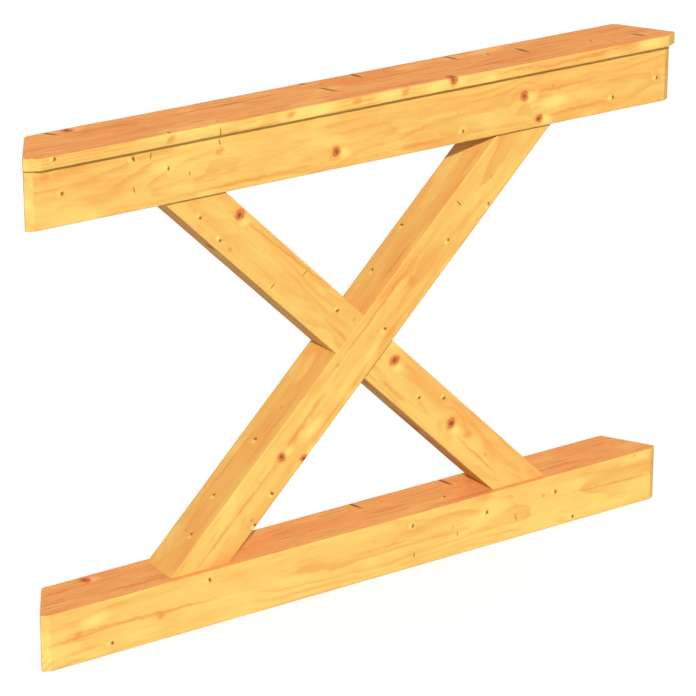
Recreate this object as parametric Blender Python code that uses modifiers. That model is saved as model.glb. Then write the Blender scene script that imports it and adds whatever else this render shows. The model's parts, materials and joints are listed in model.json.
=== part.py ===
"""Railing panel for a six-sided garden pavilion: two square rails, an X of two braces and a cap board.

Metres, +Z up. The panel stands on its bottom rail. X runs along it, -Y is its front (the outer side of the
pavilion). The origin is in the middle of its length and depth, at the level that it stands on.
The timbers are held by screws: two through a rail into each brace end, two through the half-lap where the
braces cross, and a row from below through the top rail into the cap board.
"""
import math

import bmesh
import bpy
from mathutils import Matrix, Vector

# Timber sections
RAIL = 0.090                 # both rails are square
BRACE = 0.072                # both braces are square, centred in the rails' depth
CAP_THICKNESS = 0.0185
CAP_OVERHANG = 0.013         # past the rails' front; flush at the back
ARRIS = 0.0015               # eased edges

# Layout
RAIL_LENGTH = 1.130          # over the outer corners
CLEAR_HEIGHT = 0.586         # between the rails
BRACE_LEAN = math.radians(45)
END_CUT = math.radians(30)   # ends in plan, off square: half a corner of a hexagon
RAIL_NIB = 0.015             # short facet square to the end cut, on the front corner
CAP_NIB = 0.026
RAIL_BACK_CORNER = 0.008     # facet on the blunt corner at the back
CAP_BACK_CORNER = 0.012
GAP = 0.0003                 # between solids that touch

# Screws: lengths are under the head, radii are the thread's
BRACE_SCREW = {"length": 0.120, "thread": 0.0040, "head": 0.0100, "head_height": 0.0032, "star": 0.0033}
CAP_SCREW = {"length": 0.050, "thread": 0.0025, "head": 0.0050, "head_height": 0.0030, "star": 0.0022}
LAP_SCREW = {"length": 0.060, "thread": 0.0025, "head": 0.0050, "head_height": 0.0030, "star": 0.0022}
BRACE_SCREW_SINK = 0.020     # depth of the seat under the rail's outer face
BRACE_SCREW_INSET = (0.005, 0.033)   # towards the middle, from where the brace's centre line meets the rail
BRACE_SCREW_SPREAD = 0.018   # each way from the middle of the brace's depth
CAP_SCREW_BITE = 0.0125      # into the cap board
CAP_SCREW_PLACES = (-0.46, -0.19, 0.0, 0.19, 0.46)
CAP_SCREW_STAGGER = 0.020    # each way from the middle of the rail
LAP_SCREW_SPREAD = 0.020     # each way from the crossing's middle
COUNTERBORE_ROOM = 0.002     # around a head, for the driver's socket
TIP_ROOM = 0.0009            # past a screw's tip
HEAD_RIM = 0.0005            # straight edge of a countersunk head
THREAD_RUNOUT = 0.001
SHANK_RATIO = 0.72           # plain shank, of the thread's radius
PLAIN_RATIO = 0.42           # unthreaded length, of the whole
TIP_RATIO = 3                # length of the point, of the thread's radius
WASHER_HEAD = ((0, 1), (0.62, 1), (0.9, 0.7), (1, 0.35), (1, 0))   # of its radius and height
STAR_LOBES = 6
STAR_WAIST = 0.72            # inner radius of the driver recess, of the outer
STAR_STEPS = 24
RECESS_DEPTH = 0.7           # of the head's height
ROUND_STEPS = 16
SMOOTH_BELOW = math.radians(35)
BEVEL_ABOVE = math.radians(25)
WELD = 0.00001

# Levels and planes that follow
DEPTH = RAIL + CAP_OVERHANG
RAIL_FRONT = CAP_OVERHANG - DEPTH / 2
BACK = DEPTH / 2
RAIL_MIDDLE = (RAIL_FRONT + BACK) / 2
UPPER_RAIL_BASE = RAIL + CLEAR_HEIGHT
CAP_BASE = UPPER_RAIL_BASE + RAIL
CROSSING = Vector((0, RAIL_MIDDLE, RAIL + CLEAR_HEIGHT / 2))
BRACE_FOOT = CLEAR_HEIGHT / 2    # the braces lie at 45 degrees, so their feet are as far out as half the rise

PINE = (0.90, 0.56, 0.19, 1)
PINE_TOP = (0.84, 0.42, 0.16, 1)
ZINC = (0.72, 0.68, 0.55, 1)
PLANED = 0.5                 # roughness of the timbers
PLATED = 0.35                # and of the screws


def clear_scene():
    for item in list(bpy.data.objects):
        bpy.data.objects.remove(item, do_unlink=True)


def new_collection(name):
    collection = bpy.data.collections.new(name)
    bpy.context.scene.collection.children.link(collection)
    return collection


def principled(name, colour, roughness, metallic=0.0):
    material = bpy.data.materials.new(name)
    material.use_nodes = True
    shader = material.node_tree.nodes["Principled BSDF"]
    shader.inputs["Base Color"].default_value = colour
    shader.inputs["Roughness"].default_value = roughness
    shader.inputs["Metallic"].default_value = metallic
    return material


def mesh_of(item):
    """The item's evaluated mesh, welded, in the item's own space."""
    bpy.context.view_layer.update()
    mesh = bpy.data.meshes.new_from_object(item.evaluated_get(bpy.context.evaluated_depsgraph_get()))
    shape = bmesh.new()
    shape.from_mesh(mesh)
    bmesh.ops.remove_doubles(shape, verts=shape.verts, dist=WELD)
    shape.to_mesh(mesh)
    shape.free()
    return mesh


def plate(name, outline, thickness, collection, matrix=Matrix()):
    """A flat outline given thickness, half each way from its own XY plane, as a mesh."""
    curve = bpy.data.curves.new(name, "CURVE")
    curve.dimensions = "2D"
    curve.fill_mode = "BOTH"
    curve.extrude = thickness / 2
    spline = curve.splines.new("POLY")
    spline.points.add(len(outline) - 1)
    for point, (x, y) in zip(spline.points, outline):
        point.co = (x, y, 0, 1)
    spline.use_cyclic_u = True
    sketch = bpy.data.objects.new(name + "_outline", curve)
    collection.objects.link(sketch)
    mesh = mesh_of(sketch)
    bpy.data.objects.remove(sketch, do_unlink=True)
    item = bpy.data.objects.new(name, mesh)
    item.matrix_world = matrix
    collection.objects.link(item)
    return item


def turned(name, profile, collection):
    """A profile of (radius, height) points, from the top down, turned about Z."""
    mesh = bpy.data.meshes.new(name)
    points = [(radius, 0, height) for radius, height in profile]
    mesh.from_pydata(points, [(i, i + 1) for i in range(len(points) - 1)], [])
    item = bpy.data.objects.new(name, mesh)
    collection.objects.link(item)
    lathe = item.modifiers.new("turn", "SCREW")
    lathe.axis = "Z"
    lathe.steps = lathe.render_steps = ROUND_STEPS
    lathe.use_merge_vertices = True
    lathe.merge_threshold = WELD
    return item


def box(name, size, matrix, collection):
    bpy.ops.mesh.primitive_cube_add(size=1)
    item = bpy.context.object
    item.name = name
    item.data.transform(Matrix.Diagonal((*size, 1)))
    item.matrix_world = matrix
    for owner in item.users_collection:
        owner.objects.unlink(item)
    collection.objects.link(item)
    return item


def hide_cutter(item):
    item.hide_render = True
    item.display_type = "WIRE"
    return item


def cut(item, cutter):
    step = item.modifiers.new("cut_" + cutter.name, "BOOLEAN")
    step.operation = "DIFFERENCE"
    step.solver = "EXACT"
    step.object = cutter


def ease_edges(item):
    """Small flat arris on every edge that the timber has before it is notched and drilled."""
    arris = item.modifiers.new("arris", "BEVEL")
    arris.width = ARRIS
    arris.segments = 1
    arris.limit_method = "ANGLE"
    arris.angle_limit = BEVEL_ABOVE


def plan_outline(front, nib, back_corner):
    """Plan of a timber with both ends cut on the panel's two end planes, counter-clockwise.

    The end plane passes through the rails' outer corner. The nib is square to it, on the front corner,
    and the facet at the back lies halfway between the end plane and the back.
    """
    rail_corner = Vector((RAIL_LENGTH / 2, RAIL_FRONT + RAIL_NIB * math.sin(END_CUT)))
    corner_y = front + nib * math.sin(END_CUT)
    corner_x = rail_corner.x - (corner_y - rail_corner.y) * math.tan(END_CUT)
    facet_y = BACK - back_corner * math.sin(END_CUT)
    facet_x = rail_corner.x - (facet_y - rail_corner.y) * math.tan(END_CUT)
    right = [
        (corner_x - nib * math.cos(END_CUT), front),
        (corner_x, corner_y),
        (facet_x, facet_y),
        (facet_x - back_corner * math.cos(END_CUT), BACK),
    ]
    return right + [(-x, y) for x, y in reversed(right)]


def rail(name, base, material, parts):
    item = plate(name, plan_outline(RAIL_FRONT, RAIL_NIB, RAIL_BACK_CORNER), RAIL, parts,
                 Matrix.Translation((0, 0, base + RAIL / 2)))
    item.data.materials.append(material)
    ease_edges(item)
    return item


def cap_board(material, parts):
    thickness = CAP_THICKNESS - GAP
    item = plate("cap_board", plan_outline(-DEPTH / 2, CAP_NIB, CAP_BACK_CORNER), thickness, parts,
                 Matrix.Translation((0, 0, CAP_BASE + GAP + thickness / 2)))
    item.data.materials.append(material)
    ease_edges(item)
    return item


def brace(name, lean, lap_side, material, parts, cutters):
    """A square timber at 45 degrees with level ends, and a half-lap notch where it meets the other one.

    lean is 1 for the brace that rises to the right and -1 for the one that falls. lap_side is 1 where the
    notch is in the back and -1 where it is in the front.
    """
    length = math.sqrt(2) * (CLEAR_HEIGHT + BRACE + 2 * ARRIS)
    along = Matrix.Rotation(-lean * BRACE_LEAN, 4, "Y")
    item = box(name, (length, BRACE, BRACE), Matrix.Translation(CROSSING) @ along, parts)
    item.data.materials.append(material)
    ease_edges(item)

    for end in (-1, 1):
        waste = BRACE * 2
        level = CROSSING.z + end * (CLEAR_HEIGHT / 2 - GAP + waste / 2)
        place = Matrix.Translation((end * lean * BRACE_FOOT, CROSSING.y, level))
        label = "_low_end" if end < 0 else "_high_end"
        saw = box(name + label, (BRACE * 4, BRACE * 2, waste), place, cutters)
        cut(item, hide_cutter(saw))

    across = Matrix.Rotation(lean * BRACE_LEAN, 4, "Y")
    shift = lap_side * (BRACE / 2 - GAP / 2)
    place = Matrix.Translation(CROSSING + Vector((0, shift, 0))) @ across
    notch = box(name + "_notch", (BRACE * 2, BRACE, BRACE + 2 * GAP), place, cutters)
    cut(item, hide_cutter(notch))
    return item


def star_outline(radius):
    """Six-lobed driver recess."""
    middle, swing = (1 + STAR_WAIST) / 2, (1 - STAR_WAIST) / 2
    ring = []
    for i in range(STAR_STEPS):
        turn = 2 * math.pi * i / STAR_STEPS
        reach = radius * (middle + swing * math.cos(STAR_LOBES * turn))
        ring.append((reach * math.cos(turn), reach * math.sin(turn)))
    return ring


def screw_profile(spec, countersunk):
    """(radius, height) points of a screw with the underside of its head at height 0, from the top down."""
    head, height, thread, length = spec["head"], spec["head_height"], spec["thread"], spec["length"]
    shank = thread * SHANK_RATIO
    plain = length * PLAIN_RATIO
    tip = thread * TIP_RATIO
    if countersunk:
        top = [(0, 0), (head, 0), (head, -HEAD_RIM), (shank, -height - HEAD_RIM)]
    else:
        top = [(head * out, height * up) for out, up in WASHER_HEAD] + [(shank, 0)]
    body = [(shank, -plain), (thread, -plain - THREAD_RUNOUT), (thread, tip - length), (0, -length)]
    return top + body


def screw_mesh(name, spec, countersunk, cutters):
    """The turned screw with its driver recess cut, as one mesh that every copy shares."""
    blank = turned(name + "_blank", screw_profile(spec, countersunk), cutters)
    depth = spec["head_height"] * RECESS_DEPTH
    top = 0 if countersunk else spec["head_height"]
    recess = plate(name + "_recess", star_outline(spec["star"]), 2 * depth, cutters,
                   Matrix.Translation((0, 0, top)))
    cut(blank, recess)
    mesh = mesh_of(blank)
    for helper in (blank, recess):
        bpy.data.objects.remove(helper, do_unlink=True)
    mesh.shade_smooth()
    mesh.set_sharp_from_angle(angle=SMOOTH_BELOW)
    return mesh


def screw_pocket(name, spec, countersunk, matrix, cutters):
    """The hole that a screw sits in: its own outline plus the gap, open at the head's side."""
    hole = spec["thread"] + GAP
    bottom = -spec["length"] - TIP_ROOM
    if countersunk:
        head, height = spec["head"] + GAP, spec["head_height"]
        profile = [(0, RAIL), (head, RAIL), (head, -HEAD_RIM - GAP), (hole, -height - HEAD_RIM - GAP)]
    else:
        room = spec["head"] + COUNTERBORE_ROOM
        profile = [(0, RAIL), (room, RAIL), (room, -GAP), (hole, -GAP)]
    pocket = turned(name + "_pocket", profile + [(hole, bottom), (0, bottom)], cutters)
    pocket.matrix_world = matrix
    return hide_cutter(pocket)


def fasten(name, mesh, spec, countersunk, matrix, timbers, parts, cutters):
    """A screw at matrix (its +Z points from tip to head), and its hole in the timbers that it passes."""
    item = bpy.data.objects.new(name, mesh)
    item.matrix_world = matrix
    parts.objects.link(item)
    pocket = screw_pocket(name, spec, countersunk, matrix, cutters)
    for timber in timbers:
        cut(timber, pocket)


def head_towards(direction):
    return Vector(direction).to_track_quat("Z", "Y").to_matrix().to_4x4()


def brace_screws(rails, braces, material, parts, cutters):
    mesh = screw_mesh("brace_screw", BRACE_SCREW, False, cutters)
    mesh.materials.append(material)
    seats = {"bottom": BRACE_SCREW_SINK, "top": CAP_BASE - BRACE_SCREW_SINK}
    for level, outward in (("bottom", -1), ("top", 1)):
        for side, sign in (("left", -1), ("right", 1)):
            held = braces["rising" if sign == outward else "falling"]
            for place, inset, spread in zip(("outer", "inner"), BRACE_SCREW_INSET, (-1, 1)):
                x = sign * (BRACE_FOOT - inset)
                y = RAIL_MIDDLE + spread * BRACE_SCREW_SPREAD
                spot = Matrix.Translation((x, y, seats[level])) @ head_towards((0, 0, outward))
                fasten(f"brace_screw_{level}_{side}_{place}", mesh, BRACE_SCREW, False, spot,
                       (rails[level], held), parts, cutters)


def cap_screws(upper_rail, cap, material, parts, cutters):
    mesh = screw_mesh("cap_screw", CAP_SCREW, False, cutters)
    mesh.materials.append(material)
    seat = CAP_BASE + CAP_SCREW_BITE - CAP_SCREW["length"]
    for i, x in enumerate(CAP_SCREW_PLACES):
        stagger = CAP_SCREW_STAGGER * (1 if i % 2 else -1)
        spot = Matrix.Translation((x, RAIL_MIDDLE + stagger, seat))
        fasten(f"cap_screw_{i + 1}", mesh, CAP_SCREW, False, spot @ head_towards((0, 0, -1)),
               (upper_rail, cap), parts, cutters)


def lap_screws(braces, material, parts, cutters):
    mesh = screw_mesh("lap_screw", LAP_SCREW, True, cutters)
    mesh.materials.append(material)
    for side, sign in (("left", -1), ("right", 1)):
        spot = Matrix.Translation(CROSSING + Vector((sign * LAP_SCREW_SPREAD, BRACE / 2 - GAP, 0)))
        fasten("lap_screw_" + side, mesh, LAP_SCREW, True, spot @ head_towards((0, 1, 0)),
               tuple(braces.values()), parts, cutters)


def main():
    clear_scene()
    parts = new_collection("railing_panel")
    cutters = new_collection("cutters")

    rails = {
        "bottom": rail("bottom_rail", 0, principled("bottom_rail_pine", PINE, PLANED), parts),
        "top": rail("top_rail", UPPER_RAIL_BASE, principled("top_rail_pine", PINE, PLANED), parts),
    }
    cap = cap_board(principled("cap_board_pine", PINE_TOP, PLANED), parts)
    braces = {
        "rising": brace("rising_brace", 1, 1, principled("rising_brace_pine", PINE, PLANED), parts,
                        cutters),
        "falling": brace("falling_brace", -1, -1, principled("falling_brace_pine", PINE, PLANED), parts,
                         cutters),
    }
    brace_screws(rails, braces, principled("brace_screw_zinc", ZINC, PLATED, 1.0), parts, cutters)
    cap_screws(rails["top"], cap, principled("cap_screw_zinc", ZINC, PLATED, 1.0), parts, cutters)
    lap_screws(braces, principled("lap_screw_zinc", ZINC, PLATED, 1.0), parts, cutters)


main()
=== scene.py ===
"""Looks of the cross-braced railing panel: stained pine timbers with their knots and marks, and zinc screws.

Each timber is rebuilt in a frame of its own, in metres: X along the grain, Y through the depth, with the
panel's front at -Y, and Z across. Its mesh ends up in the row frame, and its material turns row-frame
coordinates back into that same frame.
"""
import json
import math
import random

import bmesh
import bpy
import numpy as np
from mathutils import Euler, Matrix, Vector, noise


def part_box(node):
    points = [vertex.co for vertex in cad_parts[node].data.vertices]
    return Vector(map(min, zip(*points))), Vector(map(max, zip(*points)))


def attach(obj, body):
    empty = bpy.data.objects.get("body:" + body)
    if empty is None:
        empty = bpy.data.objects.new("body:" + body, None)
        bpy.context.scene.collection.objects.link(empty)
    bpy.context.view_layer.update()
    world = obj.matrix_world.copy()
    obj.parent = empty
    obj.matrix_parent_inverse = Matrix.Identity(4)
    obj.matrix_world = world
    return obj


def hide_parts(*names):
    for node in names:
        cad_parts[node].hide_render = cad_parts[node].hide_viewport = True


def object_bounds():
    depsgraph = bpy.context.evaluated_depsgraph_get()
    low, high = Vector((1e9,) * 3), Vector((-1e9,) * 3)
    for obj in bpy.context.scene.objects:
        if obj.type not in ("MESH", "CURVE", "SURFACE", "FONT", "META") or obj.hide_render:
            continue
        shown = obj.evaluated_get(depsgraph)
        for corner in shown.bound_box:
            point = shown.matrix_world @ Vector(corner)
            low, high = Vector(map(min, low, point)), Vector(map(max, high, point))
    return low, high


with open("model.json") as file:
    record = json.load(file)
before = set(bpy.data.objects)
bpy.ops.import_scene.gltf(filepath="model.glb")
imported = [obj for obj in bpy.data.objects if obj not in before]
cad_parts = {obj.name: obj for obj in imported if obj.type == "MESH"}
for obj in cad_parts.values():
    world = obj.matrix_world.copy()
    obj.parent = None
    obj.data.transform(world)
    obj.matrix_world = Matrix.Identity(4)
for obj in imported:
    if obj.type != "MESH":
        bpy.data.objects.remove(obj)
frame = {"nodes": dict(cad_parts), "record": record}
CAD_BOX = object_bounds()

# Shapes of the ends, as in the CAD
RAIL_NIB = 0.015
CAP_NIB = 0.026
RAIL_BACK_CORNER = 0.008
CAP_BACK_CORNER = 0.012
GAP = 0.0003

# Surface of the planed timber
ROUNDING = 0.0016            # radius of the eased edges
END_ROUNDING = 0.0012
ROUNDING_STEPS = 4
SPACING = 0.003              # of the mesh's points
EDGE_WEAR = 0.0006           # most that an edge is worn back
EDGE_REACH = 0.004           # how far from an edge the wear reaches
PLANER_WAVE = 0.00022        # most that a face is planed below its nominal level
KNOT_PROUD = 0.00030
PIP_PROUD = 0.0005
TICK_DEPTH = 0.0007
TICK_SIDES, TICK_RINGS = 12, 8           # of its lens-shaped cutter
MARK_DEPTH = 0.009           # how far a mark's colour goes into the wood
SHARP_ABOVE = math.radians(28)
BORE_SIDES = 48
HEAD_HEIGHT = 0.0032         # of the brace screws; the cap screws' is nearly the same
COUNTERBORE_ROOM = 0.002     # around a screw's head
BORE_SPARE = 0.004           # how far outside the timber a bore's cutter starts
COUNTERSINK_LENGTH = 0.0046
COUNTERSINK_SHIFT = 0.0013   # of the cutter's middle, into the wood
COUNTERSINK_RADII = (0.45, 1.25)         # inner and outer, in parts of the head's radius

# Unevenness of the surface, for relief. Rates are per metre
WAVE_RATE_ALONG, WAVE_RATE_ACROSS = 11, 16
WEAR_RATE_ALONG, WEAR_RATE_ACROSS = 38, 9
SAME_FACE = 0.7              # least cosine between a face's normal and those of its points
FACE_REACH = 0.01            # how far from a face's plane its points may lie
DOME_REACH = 1.25            # of a raised knot or pip, in parts of its size
MOAT_PLACE, MOAT_WIDTH = 1.5, 0.35       # of the hollow around it, in the same units
MOAT_DEPTH = 0.35            # of the dome's height

# Rough places of the marks that stand out in the photograph. Each is a face, then how far along and across it
# the mark lies, in parts of the face's half length and half width, rounded to 0.05 and 0.1. marks_of makes
# up all the others.
KNOTS = {
    "top_rail": [("front", -0.10, -0.4), ("front", 0.50, 0.2), ("front", 0.55, -0.7)],
    "bottom_rail": [("top", -0.80, 0.7)],
    "cap_board": [("front", 0.25, 0.7), ("top", -0.80, 0.8), ("top", 0.25, -0.9)],
    "rising_brace": [("front", -0.50, 0.1), ("front", -0.45, -0.9)],
    "falling_brace": [("front", -0.80, 0.7), ("front", 0.15, 0.4), ("front", 0.55, 0.0)],
}
PIPS = {
    "top_rail": [("front", 0.95, -0.1), ("front", 0.80, -0.5), ("front", 0.30, -0.6), ("front", -0.70, 0.7),
                 ("front", -0.60, 0.2)],
    "bottom_rail": [("front", -0.50, 0.7), ("front", -0.80, -0.6), ("front", 0.15, 0.6), ("front", 0.40, 0.3),
                    ("front", 0.70, -0.8)],
    "cap_board": [("top", 0.45, 0.4), ("top", -0.60, -0.9)],
    "rising_brace": [("front", 0.10, -0.3), ("front", 0.70, -0.8), ("front", -0.75, -0.9),
                     ("front", 0.50, -0.2), ("top", 0.25, 0.4), ("top", 0.45, 0.6), ("top", -0.50, 0.0),
                     ("top", -0.75, 0.0)],
    "falling_brace": [("front", -0.20, 0.4), ("front", 0.45, 0.6), ("front", 0.35, -0.1),
                      ("front", -0.80, -0.6)],
}
TICKS = {
    "top_rail": [("front", -0.65, 0.7), ("front", -0.70, -0.3), ("front", -0.45, 0.7)],
    "bottom_rail": [("top", 0.05, 0.8), ("top", 0.35, 0.7), ("front", 0.50, -0.2), ("front", 0.30, -0.2)],
    "cap_board": [("top", 0.55, 0.2), ("top", 0.35, 0.7), ("top", 0.05, 0.8), ("top", 0.90, -0.4),
                  ("top", -0.85, 0.8)],
    "rising_brace": [],
    "falling_brace": [("front", -0.50, -0.6)],
}
# Soft amber flecks, which have no dark core, and lemon patches
FLECKS = {
    "top_rail": [("front", -0.45, 0.4), ("front", -0.95, 0.7)],
    "bottom_rail": [("front", -0.90, 0.0), ("front", -0.65, -0.1)],
    "cap_board": [("front", 0.10, 0.3), ("front", -0.60, 0.0), ("front", -0.05, 0.3), ("front", -0.25, 0.3)],
    "rising_brace": [("front", 0.30, 0.1)],
    "falling_brace": [("front", 0.65, 0.1)],
}
PATCHES = {
    "top_rail": [("front", 0.60, -0.2)],
    "bottom_rail": [("front", -0.85, 0.4)],
    "cap_board": [("front", -0.15, 0.2), ("front", 0.05, 0.3), ("front", 0.20, 0.1), ("front", 0.90, 0.2)],
    "rising_brace": [("front", -0.35, -0.3)],
    "falling_brace": [],
}
FACES = ("front", "back", "top", "bottom")
# How many marks are made up on each face of a timber, but knots only on a face with no listed knot, pip
# or tick
MADE_UP = {"knots": 2, "pips": 1, "ticks": 1, "streaks": 4}
MADE_UP_ALONG, MADE_UP_ACROSS = 0.95, 0.8    # farthest out, in parts of the half length and half width
MADE_UP_TRIES = 40           # at a place that is clear of the other marks
CLEARANCE = 0.036            # from such a place to the other marks

# Half sizes of the marks, along and across, and their slants in degrees. Two numbers in brackets are the
# limits of a random pick
KNOT_LENGTH = (0.0064, 0.0084)
KNOT_ASPECT = (1.05, 1.25)   # width, in parts of the length
KNOT_SLANT = (-25, 25)
# The painted highlight beside each knot: its half sizes, slant and drop
KNOT_HIGHLIGHT_LENGTH, KNOT_HIGHLIGHT_WIDTH = 0.013, 0.008
KNOT_HIGHLIGHT_SLANT = (-30, 30)
KNOT_HIGHLIGHT_DROP = 0.004       # how far its painted highlight lies from the knot, across the face
PIP_LENGTH, PIP_WIDTH = 0.0030, 0.0040
HIGHLIGHT_SHIFT = {"knots": 0.012, "pips": -0.0060}    # from a mark to the painted highlight beside it
TICK_LENGTH, TICK_WIDTH, TICK_SLANT = (0.004, 0.008), 0.0010, 95
CHECK_LENGTH, CHECK_WIDTH, CHECK_SLANT = (0.013, 0.022), 0.0034, 112     # longer, in the weathered tops
TICK_SWING = (-12, 12)       # added to the slant of both
STREAK_LENGTH, STREAK_WIDTH, STREAK_SLANT = (0.04, 0.15), (0.0016, 0.0045), (-2, 3)
FLECK_LENGTH, FLECK_WIDTH, FLECK_SLANT = 0.009, 0.006, (0, 40)
PATCH_LENGTH, PATCH_WIDTH, PATCH_SLANT = 0.026, 0.010, (-8, 8)

# Linear colours of the stained pine
STRAW = (0.85, 0.555, 0.135, 1)
HONEY = (0.84, 0.460, 0.110, 1)
AMBER = (0.80, 0.320, 0.068, 1)
LEMON = (0.93, 0.690, 0.180, 1)
LATE_WOOD = (0.76, 0.260, 0.048, 1)
WEATHERED = (0.56, 0.170, 0.042, 1)      # the dark fine lines of the tops
FLECK_AMBER = (0.80, 0.300, 0.060, 1)
KNOT_RED = (0.72, 0.215, 0.050, 1)
KNOT_WOOD = (0.33, 0.090, 0.030, 1)
KNOT_RIM = (0.20, 0.062, 0.024, 1)
PIP_BROWN = (0.28, 0.090, 0.016, 1)
SPOT_BROWN = (0.62, 0.250, 0.045, 1)
# the checks' own darker wood, and painted shade in their grooves
TICK_DARK_AND_SHADE = (0.17, 0.060, 0.020, 1)
TOP_SHADE_TINT = (1.10, 0.75, 0.87, 1)         # painted shade: faces that look up are made a deeper orange, standing in for the weaker light that reaches them
END_TINT = (0.78, 0.60, 0.52, 1)         # end grain drinks more stain
END_PALE = (0.90, 0.80, 0.75, 1)         # the lighter wood between its pores
END_RINGS = (0.55, 0.36, 0.26, 1)
REFLECTANCE = (0.80, 0.80, 0.80, 1)      # of all the above, so that timbers don't light each other too much

# Linear colours of the screws
ZINC_GOLD = (0.72, 0.55, 0.24, 1)
ZINC_STRAW = (0.78, 0.66, 0.38, 1)
ZINC_GREY = (0.62, 0.55, 0.40, 1)
ZINC_SPECK = (0.42, 0.36, 0.25, 1)

# Other values of the materials
WOOD_STEP = (1.7, 0.9, 1.3)  # from one timber's grain to the next one's
SPECK_RATE = 20              # per metre, of small brown specks
PINE_ROUGHNESS, PINE_SPECULAR = 0.56, 0.12
PINE_BUMP = (0.5, 0.00018)   # strength and height
ZINC_ROUGHNESS = 0.18
ZINC_BUMP = (0.4, 0.0001)

# Studio. Each distant light is given as where it comes from, its strength, its breadth in degrees and, for a
# fill, its colour
FLOOR_GREY = (0.18, 0.18, 0.18, 1)
FLOOR_GLOW = 0.86
FLOOR_REACH = 40             # each way from its middle
SKY_COLOUR = (1.0, 0.99, 0.97, 1)
SKY_STRENGTH = 0.31
MAIN_SUN = ((-0.45, -0.75, 0.49), 3.88, 2.0)
FILLS = {
    "front_fill": ((-0.2, -1.0, 0.35), 0.48, 40, (1, 1, 1)),
    "back_fill": ((0.3, 1.0, 0.15), 2.50, 50, (1.0, 0.93, 0.86)),
    "right_fill": ((1.0, 0.0, 0.1), 0.90, 50, (1.0, 0.94, 0.92)),
    "low_fill": ((-1.0, -0.2, -0.8), 1.25, 40, (0.85, 0.70, 1.0)),
}
FLOOR_LIGHT = ((0.0, 0.0, 1.0), 2.0, 60)
LIGHT_STAND_OFF = 3          # from the origin; it makes no difference to the light

# The photograph's view: degrees, millimetres of lens and sensor, and metres
CAMERA_AZIMUTH = 33.65
CAMERA_ELEVATION = 21.45
CAMERA_LENS = 169.3
CAMERA_DISTANCE = 4.923
CAMERA_AIM = (-0.0105, 0, -0.018)        # from the panel's centre
CAMERA_SENSOR = 36
CAMERA_CLIP = 200

# How much more yellow a timber is than the reddest one
YELLOWNESS = {
    "top_rail": 0.05,
    "bottom_rail": 0.28,
    "cap_board": 0.25,
    "rising_brace": 0.0,
    "falling_brace": 0.0,
}
# Where the middle of the tree lay: depth and across, in a timber's own frame
PITHS = {
    "top_rail": (0.075, -0.012),
    "bottom_rail": (0.068, 0.016),
    "cap_board": (0.020, -0.090),
    "rising_brace": (0.070, 0.012),
    "falling_brace": (0.062, -0.018),
}
RING_SPACING = 0.0046
# How strongly a timber is patched with amber and lemon, next to the plainest one
LIVELY = {
    "top_rail": 1.0,
    "bottom_rail": 1.0,
    "cap_board": 1.45,
    "rising_brace": 1.0,
    "falling_brace": 1.0,
}
SLOTS = {
    "top_rail": "rail_pine",
    "bottom_rail": "rail_pine",
    "cap_board": "cap_pine",
    "rising_brace": "brace_pine",
    "falling_brace": "brace_pine",
}
TURNS = {"rising_brace": -45, "falling_brace": 45}     # degrees about Y


class Timber:
    """A timber's name, size and place, read from its CAD node."""

    def __init__(self, name, seed):
        low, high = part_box(name)
        self.name = name
        self.seed = seed
        self.turn = math.radians(TURNS.get(name, 0))
        self.centre = (low + high) / 2
        self.depth = (high.y - low.y) / 2
        self.reach = (high.x - low.x) / 2
        if self.turn:
            self.rise = (high.z - low.z) / 2
            self.across = self.depth
        else:
            self.across = (high.z - low.z) / 2
        self.matrix = Matrix.Translation(self.centre) @ Matrix.Rotation(self.turn, 4, "Y")

    def face(self, name):
        """A face's centre, its across axis and its outward normal, in the timber's frame."""
        return {
            "front": (Vector((0, -self.depth, 0)), Vector((0, 0, 1)), Vector((0, -1, 0))),
            "back": (Vector((0, self.depth, 0)), Vector((0, 0, 1)), Vector((0, 1, 0))),
            "top": (Vector((0, 0, self.across)), Vector((0, 1, 0)), Vector((0, 0, 1))),
            "bottom": (Vector((0, 0, -self.across)), Vector((0, 1, 0)), Vector((0, 0, -1))),
        }[name]

    def half_width(self, face):
        return self.across if face in ("front", "back") else self.depth

    def half_length(self):
        return self.rise * math.sqrt(2) if self.turn else self.reach


class Mark:
    """A knot, pip, tick, streak, fleck, lemon patch or painted highlight: an ellipsoid centred on a face of a
    timber.
    """

    def __init__(self, timber, face, along, across, half_length, half_width, slant=0):
        centre, sideways, _ = timber.face(face)
        self.place = centre + Vector((along, 0, 0)) + sideways * across
        turn = math.radians(slant)
        if face in ("front", "back"):
            self.turn = Euler((0, -turn, 0))
            self.size = Vector((half_length, MARK_DEPTH, half_width))
        else:
            self.turn = Euler((0, 0, turn))
            self.size = Vector((half_length, half_width, MARK_DEPTH))
        self.face = face

    def matrix(self, normal_size=None):
        """Places a unit sphere as this mark, with another half size along the face's normal if given."""
        size = self.size.copy()
        if normal_size is not None:
            size[1 if self.face in ("front", "back") else 2] = normal_size
        return Matrix.LocRotScale(self.place, self.turn, size)


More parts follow.
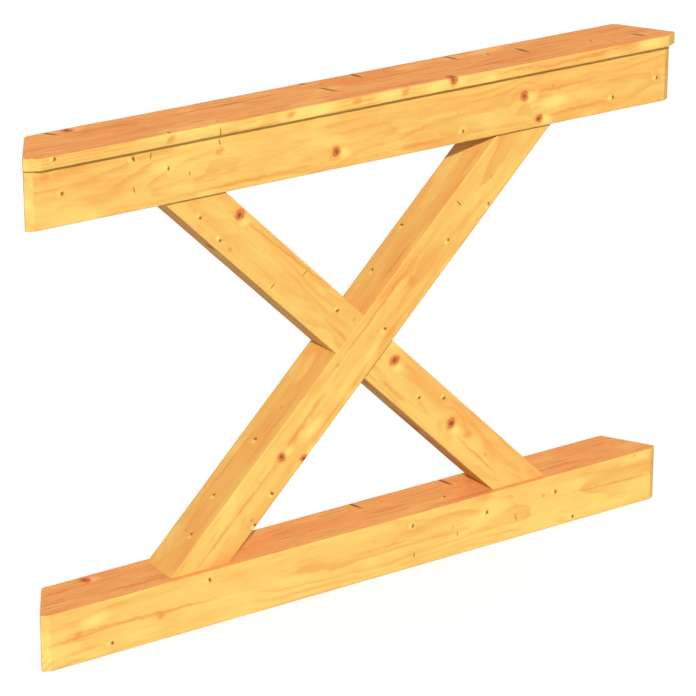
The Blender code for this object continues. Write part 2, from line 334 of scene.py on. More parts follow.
def marks_of(timber):
    """The timber's marks by kind: the listed ones, and made-up ones on all its faces."""
    pick = random.Random(timber.seed)
    length = timber.half_length()
    found = {kind: [] for kind in (*MADE_UP, "painted_highlights_and_patches", "flecks")}

    def add_knot(face, along, across):
        size = pick.uniform(*KNOT_LENGTH)
        found["knots"].append(Mark(timber, face, along, across, size, size * pick.uniform(*KNOT_ASPECT),
                                   pick.uniform(*KNOT_SLANT)))
        # A painted highlight in lemon beside the knot
        found["painted_highlights_and_patches"].append(Mark(timber, face, along + HIGHLIGHT_SHIFT["knots"], across - KNOT_HIGHLIGHT_DROP,
                                   KNOT_HIGHLIGHT_LENGTH, KNOT_HIGHLIGHT_WIDTH, pick.uniform(*KNOT_HIGHLIGHT_SLANT)))

    def add_pip(face, along, across):
        found["pips"].append(Mark(timber, face, along, across, PIP_LENGTH, PIP_WIDTH))
        # A painted highlight in lemon beside the pip, on its lit side
        found["painted_highlights_and_patches"].append(Mark(timber, face, along + HIGHLIGHT_SHIFT["pips"], across, PIP_LENGTH, PIP_WIDTH))

    def add_tick(face, along, across):
        # Checks in the weathered tops of the rails and the cap are longer, and lean more
        if face == "top" and not timber.turn:
            half, width, slant = pick.uniform(*CHECK_LENGTH), CHECK_WIDTH, CHECK_SLANT
        else:
            half, width, slant = pick.uniform(*TICK_LENGTH), TICK_WIDTH, TICK_SLANT
        slant += pick.uniform(*TICK_SWING)
        found["ticks"].append(Mark(timber, face, along, across, half, width, slant))

    def add_streak(face, along, across):
        found["streaks"].append(Mark(timber, face, along, across, pick.uniform(*STREAK_LENGTH),
                                     pick.uniform(*STREAK_WIDTH), pick.uniform(*STREAK_SLANT)))

    def add_fleck(face, along, across):
        found["flecks"].append(Mark(timber, face, along, across, FLECK_LENGTH, FLECK_WIDTH,
                                    pick.uniform(*FLECK_SLANT)))

    def add_patch(face, along, across):
        found["painted_highlights_and_patches"].append(Mark(timber, face, along, across, PATCH_LENGTH, PATCH_WIDTH,
                                   pick.uniform(*PATCH_SLANT)))

    add = {"knots": add_knot, "pips": add_pip, "ticks": add_tick, "streaks": add_streak}
    for face in FACES:
        width = timber.half_width(face)
        taken = []
        for kind, listed in (("knots", KNOTS), ("pips", PIPS), ("ticks", TICKS)):
            for place in listed[timber.name]:
                if place[0] == face:
                    taken.append(Vector((place[1] * length, place[2] * width)))
                    add[kind](face, *taken[-1])
        bare = not taken
        for kind, count in MADE_UP.items():
            if kind == "knots" and not bare:
                continue
            for _ in range(count):
                for _ in range(MADE_UP_TRIES):
                    place = Vector((pick.uniform(-MADE_UP_ALONG, MADE_UP_ALONG) * length,
                                    pick.uniform(-MADE_UP_ACROSS, MADE_UP_ACROSS) * width))
                    if all((place - other).length > CLEARANCE for other in taken):
                        break
                taken.append(place)
                add[kind](face, *place)
    for add_one, listed in ((add_fleck, FLECKS), (add_patch, PATCHES)):
        for face, along, across in listed[timber.name]:
            add_one(face, along * length, across * timber.half_width(face))
    return found


# ---------------------------------------------------------------------------------------------- geometry

def link_mesh(name, mesh):
    """A new object with this mesh, in the scene."""
    item = bpy.data.objects.new(name, mesh)
    bpy.context.scene.collection.objects.link(item)
    return item


def mesh_object(name, shape):
    """A new object made from a bmesh, which is freed."""
    mesh = bpy.data.meshes.new(name)
    shape.to_mesh(mesh)
    shape.free()
    return link_mesh(name, mesh)


def spread(low, high, step):
    """Even places from low to high, both included, about step apart."""
    count = max(1, round((high - low) / step))
    return [low + (high - low) * i / count for i in range(count + 1)]


def rounded_corner(before, corner, after, radius):
    """Points of an arc that rounds a plan corner, from the side of before to the side of after."""
    corner = Vector(corner)
    to_before = (Vector(before) - corner).normalized()
    to_after = (Vector(after) - corner).normalized()
    half_angle = to_before.angle(to_after) / 2
    run = radius / math.tan(half_angle)
    start, end = corner + to_before * run, corner + to_after * run
    middle = corner + (to_before + to_after).normalized() * (radius / math.sin(half_angle) - radius)
    return [start, middle, end]


def rail_end(timber, nib, back_corner):
    """Plan of the right-hand end as (x, y) points from front to back, on the panel's end plane."""
    mounts = {mount["name"]: mount for mount in frame["record"]["mounts"]}
    end = mounts["right_end_top_rail"]
    point, normal = Vector(end["pos_m"]), Vector(end["axis"])

    def on_plane(y):
        return point.x - (y + timber.centre.y - point.y) * normal.y / normal.x, y

    corner = on_plane(nib * normal.y - timber.depth)
    facet = on_plane(timber.depth - back_corner * normal.y)
    front = (corner[0] - nib * normal.x, -timber.depth)
    back = (facet[0] - back_corner * normal.x, timber.depth)
    return [Vector(front), *rounded_corner(front, corner, facet, ROUNDING),
            *rounded_corner(corner, facet, back, ROUNDING), Vector(back)]


def section(timber, creases):
    """A timber's cross-section as (depth, across) points and their outward directions.

    It comes as four runs: along the bottom to the back, up the back, along the top to the front, and down
    the front. The top and bottom have a point at each crease of the ends.
    """
    flat_y, flat_z = timber.depth - ROUNDING, timber.across - ROUNDING
    places = sorted(set(spread(-flat_y, flat_y, SPACING) + [y for y in creases if abs(y) < flat_y]))
    arc = [math.radians(90) * i / ROUNDING_STEPS for i in range(1, ROUNDING_STEPS)]
    bottom = [(-flat_y - ROUNDING * math.cos(a), -flat_z - ROUNDING * math.sin(a), -math.cos(a), -math.sin(a))
              for a in arc]
    bottom += [(y, -timber.across, 0, -1) for y in places]
    bottom += [(-y, z, -out_y, out_z) for y, z, out_y, out_z in reversed(bottom[:len(arc)])]
    back = [(timber.depth, z, 1, 0) for z in spread(-flat_z, flat_z, SPACING)]
    top = [(y, -z, out_y, -out_z) for y, z, out_y, out_z in reversed(bottom)]
    front = [(-y, z, -out_y, out_z) for y, z, out_y, out_z in reversed(back)]
    return bottom, back, top, front


def ends_of(timber):
    """A function that gives where a timber's left and right ends lie at (depth, across), and its creases."""
    if timber.turn:
        reach = math.sqrt(2) * timber.rise
        lean = -1 if timber.turn > 0 else 1
        return (lambda y, z: (-reach - lean * z, reach - lean * z)), []
    nib, corner = (CAP_NIB, CAP_BACK_CORNER) if timber.name == "cap_board" else (RAIL_NIB, RAIL_BACK_CORNER)
    plan = rail_end(timber, nib, corner)
    ys = [point.y for point in plan]

    # The rails' and the cap's ends are upright, so z makes no difference to them
    def ends(y, z):
        x = float(np.interp(y, ys, [point.x for point in plan]))
        return -x, x

    return ends, ys[1:-1]


def timber_mesh(timber):
    """The whole timber, with eased edges, as rings of points along it and strips over its ends."""
    ends, creases = ends_of(timber)
    runs = section(timber, creases)
    ring = [point for run in runs for point in run]
    count = len(ring)
    turns = [math.radians(90) * i / ROUNDING_STEPS for i in range(ROUNDING_STEPS + 1)]
    places = spread(0, 1, SPACING / (2 * timber.reach))
    stations = [(place, 0, 0) for place in places]
    if not timber.turn:
        lips = [(END_ROUNDING * (1 - math.cos(a)), END_ROUNDING * (1 - math.sin(a))) for a in reversed(turns)]
        stations = [(0, *lip) for lip in lips] + stations[1:-1] + [(1, *lip) for lip in reversed(lips)]
    points = []
    outward = []
    for t, inset, setback in stations:
        for y, z, out_y, out_z in ring:
            left, right = ends(y, z)
            x = left + (right - left) * t + (setback if t < 0.5 else -setback)
            # The ends are eased above and below, and stay crisp where they meet the front and back
            points.append((x, y, z - inset * out_z))
            outward.append((0, out_y, out_z))
    faces = []
    for i in range(len(stations) - 1):
        for j in range(count):
            k = (j + 1) % count
            faces.append((i * count + j, i * count + k, (i + 1) * count + k, (i + 1) * count + j))
    bottom, back, top, front = (len(run) for run in runs)
    for first in (0, (len(stations) - 1) * count):
        low = [first + j for j in range(bottom)]
        high = [first + bottom + back + top - 1 - j for j in range(top)]
        for k in range(bottom - 1):
            faces.append((low[k], low[k + 1], high[k + 1], high[k]))
        faces.append([low[-1]] + [first + bottom + j for j in range(back)] + [high[-1]])
        faces.append([high[0]] + [first + bottom + back + top + j for j in range(front)] + [low[0]])
    return np.array(points), np.array(outward, float), faces


def relief(timber, marks, points, outward):
    """How far each point stands out: planing waves, worn edges, and knots and pips that shrank less."""
    height = np.zeros(len(points))
    for i, (x, y, z) in enumerate(points):
        far = (timber.depth - abs(y)) + (timber.across - abs(z))
        place = Vector((x * WAVE_RATE_ALONG, y * WAVE_RATE_ACROSS, z * WAVE_RATE_ACROSS + timber.seed))
        wave = 0.5 + 0.5 * noise.noise(place)
        height[i] = -PLANER_WAVE * wave
        if far < EDGE_REACH:
            place = Vector((x * WEAR_RATE_ALONG, y * WEAR_RATE_ACROSS + timber.seed, z * WEAR_RATE_ACROSS))
            worn = 0.5 + 0.5 * noise.noise(place)
            height[i] -= EDGE_WEAR * worn * (1 - far / EDGE_REACH)
    for kind, proud in (("knots", KNOT_PROUD), ("pips", PIP_PROUD)):
        for mark in marks[kind]:
            # No mark stands out on an underside, because the panel rests on one
            if mark.face == "bottom":
                continue
            inverse = np.array(mark.matrix(1.0).inverted())
            inside = points @ inverse[:3, :3].T + inverse[:3, 3]
            side = 1 if mark.face in ("front", "back") else 2
            facing = outward @ np.array(timber.face(mark.face)[2]) > SAME_FACE
            near = facing & (np.abs(inside[:, side]) < FACE_REACH)
            inside[:, side] = 0
            distance = np.linalg.norm(inside, axis=1)
            dome = np.clip(1 - (distance / DOME_REACH) ** 2, 0, 1) ** 2 * proud
            moat = np.exp(-((distance - MOAT_PLACE) / MOAT_WIDTH) ** 2) * proud * MOAT_DEPTH
            height += np.where(near, dome - moat, 0)
    return height


def tick_shapes(shape, marks):
    """Narrow lens-shaped cuts, for the short checks across the grain."""
    for mark in marks["ticks"]:
        bmesh.ops.create_uvsphere(shape, u_segments=TICK_SIDES, v_segments=TICK_RINGS, radius=1,
                                  matrix=mark.matrix(TICK_DEPTH))


def bore(shape, start, direction, radius, depth):
    """A round cut from just outside start, depth along direction."""
    length = depth + BORE_SPARE
    middle = start + direction * (length / 2 - BORE_SPARE)
    matrix = Matrix.LocRotScale(middle, direction.to_track_quat("Z", "Y"), None)
    bmesh.ops.create_cone(shape, cap_ends=True, segments=BORE_SIDES, radius1=radius, radius2=radius,
                          depth=length, matrix=matrix)


def countersink(shape, start, direction, head):
    """A conical cut around a head of this radius, narrowing along direction from just outside start."""
    middle = start + direction * COUNTERSINK_SHIFT
    matrix = Matrix.LocRotScale(middle, (-direction).to_track_quat("Z", "Y"), None)
    inner, outer = COUNTERSINK_RADII
    bmesh.ops.create_cone(shape, cap_ends=True, segments=BORE_SIDES, radius1=head * inner,
                          radius2=head * outer, depth=COUNTERSINK_LENGTH, matrix=matrix)


def screw_bores(shape, timber):
    """Where this timber holds screw heads, the counterbores or countersinks over them."""
    to_timber = timber.matrix.inverted()
    turn = to_timber.to_3x3()
    top = timber.centre.z + timber.across
    base = timber.centre.z - timber.across
    for name in sorted(frame["nodes"]):
        low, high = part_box(name)
        middle = (low + high) / 2
        head = (high.x - low.x) / 2
        room = head + COUNTERBORE_ROOM
        if timber.name == "bottom_rail" and name.startswith("brace_screw_bottom"):
            start = to_timber @ Vector((middle.x, middle.y, 0))
            bore(shape, start, Vector((0, 0, 1)), room, low.z + HEAD_HEIGHT)
        if timber.name == "top_rail" and name.startswith("brace_screw_top"):
            start = to_timber @ Vector((middle.x, middle.y, top))
            bore(shape, start, Vector((0, 0, -1)), room, top - high.z + HEAD_HEIGHT)
        if timber.name == "top_rail" and name.startswith("cap_screw"):
            start = to_timber @ Vector((middle.x, middle.y, base))
            bore(shape, start, Vector((0, 0, 1)), room, low.z + HEAD_HEIGHT - base)
        if timber.name == "falling_brace" and name.startswith("lap_screw"):
            start = to_timber @ Vector((middle.x, high.y, middle.z))
            countersink(shape, start, turn @ Vector((0, -1, 0)), head)


def notch(shape, timber):
    """The half-lap's cut: out of the front of the falling brace, and out of the back of the rising one."""
    if not timber.turn:
        return
    side = -1 if timber.name == "falling_brace" else 1
    half = timber.depth
    size = Vector((2 * (half + GAP), 2 * half, 4 * half))
    place = Vector((0, side * (half - GAP / 2), 0))
    bmesh.ops.create_cube(shape, size=1, matrix=Matrix.LocRotScale(place, None, size))


def subtract(item, shape):
    """Applies a Boolean difference with the shape, whose own parts must not touch each other."""
    if not shape.faces:
        shape.free()
        return
    tool = mesh_object("tool", shape)
    step = item.modifiers.new("cut", "BOOLEAN")
    step.operation = "DIFFERENCE"
    step.solver = "EXACT"
    step.object = tool
    bpy.context.view_layer.update()
    mesh = bpy.data.meshes.new_from_object(item.evaluated_get(bpy.context.evaluated_depsgraph_get()))
    item.modifiers.clear()
    if len(mesh.polygons) < len(item.data.polygons) / 2:
        raise RuntimeError("a cut has lost most of " + item.name)
    whole = item.data
    item.data = mesh
    bpy.data.meshes.remove(whole)
    bpy.data.objects.remove(tool, do_unlink=True)


def timber_piece(timber, marks):
    """The timber in the row frame, with its relief, and with its ticks, bores and notch as separate cuts."""
    points, outward, faces = timber_mesh(timber)
    points = points + outward * relief(timber, marks, points, outward)[:, None]
    mesh = bpy.data.meshes.new(timber.name + "_visual")
    mesh.from_pydata(points.tolist(), [], faces)
    shape = bmesh.new()
    shape.from_mesh(mesh)
    bmesh.ops.recalc_face_normals(shape, faces=shape.faces)
    shape.to_mesh(mesh)
    shape.free()
    item = link_mesh(timber.name + "_visual", mesh)
    for add_shapes, source in ((tick_shapes, marks), (screw_bores, timber), (notch, timber)):
        shape = bmesh.new()
        add_shapes(shape, source)
        subtract(item, shape)
    item.data.transform(timber.matrix)
    item.data.shade_smooth()
    item.data.set_sharp_from_angle(angle=SHARP_ABOVE)
    even = item.modifiers.new("even_normals", "WEIGHTED_NORMAL")
    even.keep_sharp = True
    return item


# --------------------------------------------------------------------------------------------- materials

class Nodes:
    """Short ways to add shader nodes. A value may be a number, a colour or another node's output."""

    def __init__(self, material):
        self.tree = material.node_tree
        self.tree.nodes.clear()

    def feed(self, socket, value):
        if isinstance(value, bpy.types.NodeSocket):
            self.tree.links.new(value, socket)
        elif value is not None:
            socket.default_value = value

    def math(self, operation, a, b=None, clamp=False):
        node = self.tree.nodes.new("ShaderNodeMath")
        node.operation = operation
        node.use_clamp = clamp
        self.feed(node.inputs[0], a)
        self.feed(node.inputs[1], b)
        return node.outputs[0]

    def vector(self, operation, a, b=None):
        node = self.tree.nodes.new("ShaderNodeVectorMath")
        node.operation = operation
        self.feed(node.inputs[0], a)
        self.feed(node.inputs[1], b)
        return node.outputs["Value"] if operation in ("LENGTH", "DOT_PRODUCT") else node.outputs["Vector"]

    def mapping(self, vector, place, turn, size):
        """The vector as seen from a frame at place, turned, with units of size."""
        node = self.tree.nodes.new("ShaderNodeMapping")
        node.vector_type = "TEXTURE"
        self.feed(node.inputs["Vector"], vector)
        node.inputs["Location"].default_value = place
        node.inputs["Rotation"].default_value = turn
        node.inputs["Scale"].default_value = size
        return node.outputs["Vector"]

    def noise(self, vector, stretch, detail=2.0, roughness=0.5, output="Fac"):
        """Noise with its own frequency, per metre, along each axis."""
        node = self.tree.nodes.new("ShaderNodeTexNoise")
        self.feed(node.inputs["Vector"], self.vector("MULTIPLY", vector, stretch))
        node.inputs["Scale"].default_value = 1
        node.inputs["Detail"].default_value = detail
        node.inputs["Roughness"].default_value = roughness
        return node.outputs[output]

    def cells(self, vector, frequency):
        """Distance to the nearest of some scattered points, as a part of the spacing between them."""
        node = self.tree.nodes.new("ShaderNodeTexVoronoi")
        self.feed(node.inputs["Vector"], vector)
        node.inputs["Scale"].default_value = frequency
        return node.outputs["Distance"]

    def smooth(self, value, low, high, start=0.0, end=1.0):
        node = self.tree.nodes.new("ShaderNodeMapRange")
        node.interpolation_type = "SMOOTHSTEP"
        self.feed(node.inputs["Value"], value)
        node.inputs["From Min"].default_value = low
        node.inputs["From Max"].default_value = high
        node.inputs["To Min"].default_value = start
        node.inputs["To Max"].default_value = end
        return node.outputs["Result"]

    def ramp(self, value, stops):
        node = self.tree.nodes.new("ShaderNodeValToRGB")
        elements = node.color_ramp.elements
        while len(elements) > 1:
            elements.remove(elements[-1])
        for i, (place, colour) in enumerate(stops):
            element = elements[0] if i == 0 else elements.new(place)
            element.position = place
            element.color = colour
        self.feed(node.inputs["Fac"], value)
        return node.outputs["Color"]

    def mix(self, amount, a, b, blend="MIX"):
        node = self.tree.nodes.new("ShaderNodeMix")
        node.data_type = "RGBA"
        node.blend_type = blend
        self.feed(node.inputs["Factor"], amount)
        self.feed(node.inputs[6], a)
        self.feed(node.inputs[7], b)
        return node.outputs[2]

    def nearest(self, vector, marks):
        """Distance to the nearest mark, in units of its own size."""
        found = None
        for mark in marks:
            inside = self.mapping(vector, mark.place, mark.turn, mark.size)
            distance = self.vector("LENGTH", inside)
            found = distance if found is None else self.math("MINIMUM", found, distance)
        return found

    def bump(self, shader, height, strength, distance):
        node = self.tree.nodes.new("ShaderNodeBump")
        node.inputs["Strength"].default_value = strength
        node.inputs["Distance"].default_value = distance
        self.feed(node.inputs["Height"], height)
        self.feed(shader.inputs["Normal"], node.outputs["Normal"])

    def principled(self):
        shader = self.tree.nodes.new("ShaderNodeBsdfPrincipled")
        output = self.tree.nodes.new("ShaderNodeOutputMaterial")
        self.tree.links.new(shader.outputs[0], output.inputs["Surface"])
        return shader


def mark_distances(n, here, wood, marks):
    """Distance to the nearest mark of each kind, with slightly wandering outlines."""
    wander = n.vector("SUBTRACT", n.noise(wood, (90, 130, 130), 2, output="Color"), (0.5, 0.5, 0.5))
    loose = n.vector("ADD", here, n.vector("MULTIPLY", wander, (0.006, 0.005, 0.006)))
    tight = n.vector("ADD", here, n.vector("MULTIPLY", wander, (0.002, 0.001, 0.002)))
    wavy = n.vector("ADD", here, n.vector("MULTIPLY", wander, (0.02, 0.008, 0.008)))
    seen_from = {
        "knots": loose,
        "pips": loose,
        "ticks": tight,
        "streaks": wavy,
        "painted_highlights_and_patches": loose,
        "flecks": loose,
    }
    return {kind: n.nearest(place, marks[kind]) for kind, place in seen_from.items()}


def late_wood(n, timber, here, wood, ripple, near):
    """How dark the growth rings are: they lie about the tree's middle, pushed aside around knots and pips."""
    from_pith = n.vector("MULTIPLY", n.vector("SUBTRACT", here, (0, *PITHS[timber.name])), (0.012, 1, 1))
    drift = n.math("SUBTRACT", n.noise(wood, (2.6, 10, 10), 2), 0.5)
    radius = n.math("ADD", n.vector("LENGTH", from_pith), n.math("MULTIPLY", drift, 0.034))
    radius = n.math("ADD", radius, n.math("MULTIPLY", ripple, 0.0035))
    radius = n.math("SUBTRACT", radius, n.smooth(near["knots"], 0.4, 4.5, 0.004, 0.0))
    radius = n.math("SUBTRACT", radius, n.smooth(near["pips"], 0.6, 3.4, 0.0025, 0.0))
    ring = n.math("FRACT", n.math("DIVIDE", radius, RING_SPACING))
    late = n.math("MULTIPLY", n.smooth(ring, 0.35, 0.90), n.smooth(ring, 0.93, 1.0, 1.0, 0.0))
    patchy = n.smooth(n.noise(wood, (5, 22, 22), 2), 0.38, 0.66)
    return n.math("MULTIPLY", late, n.math("ADD", n.math("MULTIPLY", patchy, 0.75), 0.12))


def stained(n, timber, wood, late, near):
    """The wood's colour: broad bands of stain, rings, streaks, lemon patches, painted highlights beside knots
    and pips, and flecks.
    """
    band = n.smooth(n.noise(wood, (3.2, 26, 26), 3, 0.55), 0.36, 0.68)
    blotch = n.smooth(n.noise(wood, (9, 30, 30), 3, 0.6), 0.42, 0.75)
    flame = n.smooth(n.noise(wood, (18, 85, 85), 3, 0.6), 0.55, 0.72)
    pale = n.smooth(n.noise(wood, (9, 25, 25), 3), 0.53, 0.72)
    colour = n.mix(band, STRAW, HONEY)
    colour = n.mix(n.math("MULTIPLY", blotch, 0.50 * LIVELY[timber.name]), colour, AMBER)
    colour = n.mix(n.math("MULTIPLY", flame, 0.32), colour, AMBER)
    colour = n.mix(YELLOWNESS[timber.name], colour, LEMON)
    colour = n.mix(n.math("MULTIPLY", late, 0.50), colour, LATE_WOOD)
    colour = n.mix(n.smooth(near["streaks"], 0.1, 1.3, 0.68, 0.0), colour, LATE_WOOD)
    colour = n.mix(n.math("MULTIPLY", pale, 0.60 * LIVELY[timber.name]), colour, LEMON)
    # Lemon patches, and painted highlights beside knots and pips
    colour = n.mix(n.smooth(near["painted_highlights_and_patches"], 0.2, 1.5, 0.90, 0.0), colour, LEMON)
    colour = n.mix(n.smooth(near["knots"], 0.9, 1.7, 0.60, 0.0), colour, AMBER)
    return n.mix(n.smooth(near["flecks"], 0.2, 1.4, 0.80, 0.0), colour, FLECK_AMBER)


def marked(n, colour, wood, here, near):
    """Adds knots, with an uneven dark core and a darker rim in places, and then specks, pips and ticks."""
    knot = near["knots"]
    patch = n.noise(wood, (170, 170, 170), 2)
    core = n.smooth(n.math("ADD", knot, n.math("MULTIPLY", patch, 0.8)), 0.60, 1.05, 1.0, 0.0)
    rim = n.math("MULTIPLY", n.smooth(knot, 0.60, 0.90), n.smooth(patch, 0.50, 0.62))
    knot_colour = n.mix(core, KNOT_RED, KNOT_WOOD)
    knot_colour = n.mix(n.math("MULTIPLY", rim, 0.7), knot_colour, KNOT_RIM)
    colour = n.mix(n.smooth(knot, 0.78, 1.08, 1.0, 0.0), colour, knot_colour)
    speck = n.cells(here, SPECK_RATE)
    colour = n.mix(n.smooth(speck, 0.02, 0.10, 0.55, 0.0), colour, SPOT_BROWN)
    colour = n.mix(n.smooth(near["pips"], 0.35, 1.05, 0.95, 0.0), colour, PIP_BROWN)
    # Ticks: the darker wood of the checks, and painted shade inside their cut grooves
    return n.mix(n.smooth(near["ticks"], 0.4, 1.2, 0.90, 0.0), colour, TICK_DARK_AND_SHADE)


def top_shade_and_threads(n, colour, wood, facing):
    """Adds painted shade, a deeper orange standing in for the weaker light on faces that look up, and the
    dark fine threads there.
    """
    thread = n.smooth(n.noise(wood, (12, 380, 380), 3, 0.6), 0.55, 0.70)
    up = n.smooth(n.vector("DOT_PRODUCT", facing, (0, 0, 1)), 0.55, 0.98)
    # Painted shade: the up-facing faces turn a deeper orange, for the weaker light on them
    shaded_top = n.mix(1.0, colour, TOP_SHADE_TINT, "MULTIPLY")
    shaded_top = n.mix(n.math("MULTIPLY", thread, 0.85), shaded_top, WEATHERED)
    return n.mix(up, colour, shaded_top)


def end_grain(n, colour, late, fine, end):
    """Adds the darker end grain, with its pores and rings, where the surface faces along the timber."""
    pores = n.math("MULTIPLY", n.smooth(fine, 0.30, 0.60), 0.25)
    end_wood = n.mix(pores, END_TINT, END_PALE)
    end_wood = n.mix(n.math("MULTIPLY", late, 0.8), end_wood, END_RINGS)
    return n.mix(end, colour, n.mix(1.0, colour, end_wood, "MULTIPLY"))


def fibrous(n, colour, fibre, fine):
    """Varies the lightness from fibre to fibre, least in the red and most in the blue."""
    lightness = n.math("ADD", n.math("MULTIPLY", n.math("SUBTRACT", fibre, 0.5), 0.34), 1.0)
    lightness = n.math("ADD", lightness, n.math("MULTIPLY", n.math("SUBTRACT", fine, 0.5), 0.16))
    tone = n.tree.nodes.new("ShaderNodeCombineColor")
    n.feed(tone.inputs["Red"], n.math("POWER", lightness, 0.5))
    n.feed(tone.inputs["Green"], lightness)
    n.feed(tone.inputs["Blue"], n.math("POWER", lightness, 1.3))
    return n.mix(1.0, colour, tone.outputs[0], "MULTIPLY")


def rubbed(n, timber, colour, here, ripple):
    """Makes the rubbed long edges slightly paler."""
    to_edge = n.vector("SUBTRACT", (0, timber.depth, timber.across), n.vector("ABSOLUTE", here))
    to_edge = n.vector("DOT_PRODUCT", to_edge, (0, 1, 1))
    worn = n.smooth(n.math("ADD", to_edge, n.math("MULTIPLY", ripple, 0.003)), 0.0004, 0.0028, 0.12, 0.0)
    return n.mix(worn, colour, LEMON)


def pine_material(timber, marks):
    """Stained pine, worked out in the timber's own frame."""
    material = bpy.data.materials.new(timber.name + "_pine")
    material.use_nodes = True
    n = Nodes(material)
    coordinates = n.tree.nodes.new("ShaderNodeTexCoord")
    facing = coordinates.outputs["Normal"]
    here = n.mapping(coordinates.outputs["Object"], timber.centre, (0, timber.turn, 0), (1, 1, 1))
    wood = n.vector("ADD", here, tuple(timber.seed * step for step in WOOD_STEP))
    near = mark_distances(n, here, wood, marks)
    ripple = n.math("SUBTRACT", n.noise(wood, (14, 60, 60), 2), 0.5)
    late = late_wood(n, timber, here, wood, ripple, near)
    fibre = n.noise(wood, (26, 900, 900), 3, 0.6)
    fine = n.noise(wood, (70, 2600, 2600), 2, 0.6)
    grain = (math.cos(timber.turn), 0, -math.sin(timber.turn))
    end = n.smooth(n.math("ABSOLUTE", n.vector("DOT_PRODUCT", facing, grain)), 0.6, 0.8)

    colour = stained(n, timber, wood, late, near)
    colour = marked(n, colour, wood, here, near)
    colour = top_shade_and_threads(n, colour, wood, facing)
    colour = end_grain(n, colour, late, fine, end)
    colour = fibrous(n, colour, fibre, fine)
    colour = rubbed(n, timber, colour, here, ripple)
    colour = n.mix(1.0, colour, REFLECTANCE, "MULTIPLY")

    shader = n.principled()
    n.feed(shader.inputs["Base Color"], colour)
    rough = n.math("ADD", n.math("MULTIPLY", fibre, 0.16), n.math("MULTIPLY", late, -0.12))
    rough = n.math("ADD", rough, n.math("MULTIPLY", end, 0.18))
    n.feed(shader.inputs["Roughness"], n.math("ADD", rough, PINE_ROUGHNESS, clamp=True))
    shader.inputs["Specular IOR Level"].default_value = PINE_SPECULAR
    height = n.math("ADD", n.math("MULTIPLY", fibre, 0.5), n.math("MULTIPLY", late, 0.5))
    height = n.math("ADD", height, n.math("MULTIPLY", fine, 0.25))
    n.bump(shader, height, *PINE_BUMP)
    return material


def zinc_material(name):
    """Yellow-passivated zinc: a faint gold with soft patches and fine dark specks."""
    material = bpy.data.materials.new(name)
    material.use_nodes = True
    n = Nodes(material)
    coordinates = n.tree.nodes.new("ShaderNodeTexCoord")
    here = coordinates.outputs["Object"]
    patches = n.noise(here, (260, 260, 260), 3)
    specks = n.noise(here, (2400, 2400, 2400), 2)
    colour = n.ramp(patches, [(0.30, ZINC_GOLD), (0.50, ZINC_STRAW), (0.70, ZINC_GREY)])
    colour = n.mix(n.smooth(specks, 0.60, 0.75, 0.0, 0.6), colour, ZINC_SPECK)
    shader = n.principled()
    shader.inputs["Metallic"].default_value = 1.0
    n.feed(shader.inputs["Base Color"], colour)
    n.feed(shader.inputs["Roughness"], n.math("ADD", n.math("MULTIPLY", patches, 0.30), ZINC_ROUGHNESS))
    n.bump(shader, specks, *ZINC_BUMP)
    return material


# ------------------------------------------------------------------------------------------------- stage

def white_floor():
    """A plain pale floor that glows enough to look white, and that doesn't light or shade the panel."""
    shape = bmesh.new()
    bmesh.ops.create_grid(shape, x_segments=1, y_segments=1, size=FLOOR_REACH)
    floor = mesh_object("floor", shape)
    material = bpy.data.materials.new("floor_white")
    material.use_nodes = True
    shader = material.node_tree.nodes["Principled BSDF"]
    shader.inputs["Base Color"].default_value = FLOOR_GREY
    shader.inputs["Roughness"].default_value = 0.9
    shader.inputs["Specular IOR Level"].default_value = 0.0
    shader.inputs["Emission Color"].default_value = (1, 1, 1, 1)
    shader.inputs["Emission Strength"].default_value = FLOOR_GLOW
    floor.data.materials.append(material)
    floor.visible_diffuse = False
    floor.visible_glossy = False
    floor.visible_shadow = False
    return floor


def only_lights(light, name, items):
    """Limits a light to these objects."""
    group = bpy.data.collections.new(name)
    for item in items:
        group.objects.link(item)
    light.light_linking.receiver_collection = group


def sunlight(name, source, strength, breadth, items, colour=(1, 1, 1)):
    """A distant light from the direction source, breadth degrees across, on these objects only."""
    data = bpy.data.lights.new(name, "SUN")
    data.energy = strength
    data.angle = math.radians(breadth)
    data.color = colour
    light = bpy.data.objects.new(name, data)
    light.rotation_euler = Vector(source).to_track_quat("Z", "Y").to_euler()
    light.location = Vector(source) * LIGHT_STAND_OFF
    bpy.context.scene.collection.objects.link(light)
    only_lights(light, name + "_receivers", items)
    return light


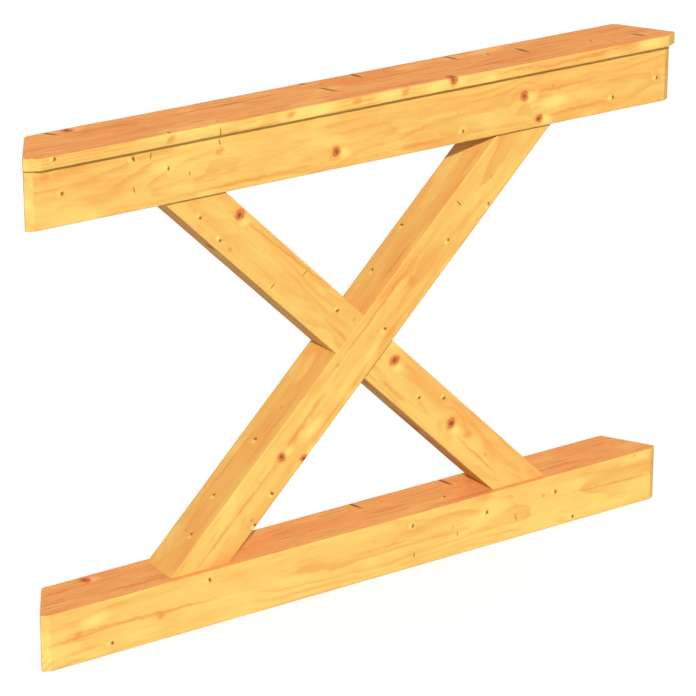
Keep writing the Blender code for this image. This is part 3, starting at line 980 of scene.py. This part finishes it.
def studio_world():
    """Pale even light from all round, which the camera sees as white."""
    world = bpy.data.worlds.new("studio")
    world.use_nodes = True
    tree = world.node_tree
    tree.nodes.clear()
    path = tree.nodes.new("ShaderNodeLightPath")
    light = tree.nodes.new("ShaderNodeBackground")
    light.inputs["Color"].default_value = SKY_COLOUR
    light.inputs["Strength"].default_value = SKY_STRENGTH
    seen = tree.nodes.new("ShaderNodeBackground")
    seen.inputs["Color"].default_value = (1, 1, 1, 1)
    mixed = tree.nodes.new("ShaderNodeMixShader")
    output = tree.nodes.new("ShaderNodeOutputWorld")
    tree.links.new(path.outputs["Is Camera Ray"], mixed.inputs["Fac"])
    tree.links.new(light.outputs[0], mixed.inputs[1])
    tree.links.new(seen.outputs[0], mixed.inputs[2])
    tree.links.new(mixed.outputs[0], output.inputs["Surface"])
    bpy.context.scene.world = world


def photo_camera():
    """Looks at the panel's middle, a little left and below its centre, as the photograph does."""
    centre = (CAD_BOX[0] + CAD_BOX[1]) / 2
    aim = centre + Vector(CAMERA_AIM)
    turn = Euler((math.radians(90 - CAMERA_ELEVATION), 0, math.radians(-CAMERA_AZIMUTH)))
    data = bpy.data.cameras.new("camera")
    data.lens = CAMERA_LENS
    data.sensor_width = CAMERA_SENSOR
    data.clip_end = CAMERA_CLIP
    camera = bpy.data.objects.new("camera", data)
    camera.location = aim + turn.to_matrix() @ Vector((0, 0, CAMERA_DISTANCE))
    camera.rotation_euler = turn
    bpy.context.scene.collection.objects.link(camera)
    bpy.context.scene.camera = camera


def build_timbers():
    """The five timbers, each in place of its CAD node."""
    pieces = []
    for seed, name in enumerate(SLOTS, 1):
        timber = Timber(name, seed)
        marks = marks_of(timber)
        piece = timber_piece(timber, marks)
        piece.data.materials.clear()
        piece.data.materials.append(pine_material(timber, marks))
        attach(piece, "root")
        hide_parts(name)
        pieces.append(piece)
    return pieces


def dress_screws():
    """Gives the CAD screws, which stay as they are, one zinc material for each kind."""
    materials = {}
    screws = []
    for name, node in sorted(frame["nodes"].items()):
        if "screw" not in name:
            continue
        kind = name.split("_screw")[0] + "_screw_zinc"
        if kind not in materials:
            materials[kind] = zinc_material(kind)
        for material_slot in node.material_slots:
            material_slot.material = materials[kind]
        screws.append(node)
    return screws


photo_camera()
timbers = build_timbers()
screws = dress_screws()
object_pieces = timbers + screws
floor = white_floor()
studio_world()
sunlight("main_sun", *MAIN_SUN, object_pieces)
for name, (source, strength, breadth, colour) in FILLS.items():
    fill = sunlight(name, source, strength, breadth, object_pieces, colour)
    fill.visible_glossy = False
sunlight("floor_light", *FLOOR_LIGHT, [floor])
bpy.context.scene.view_settings.view_transform = "Standard"
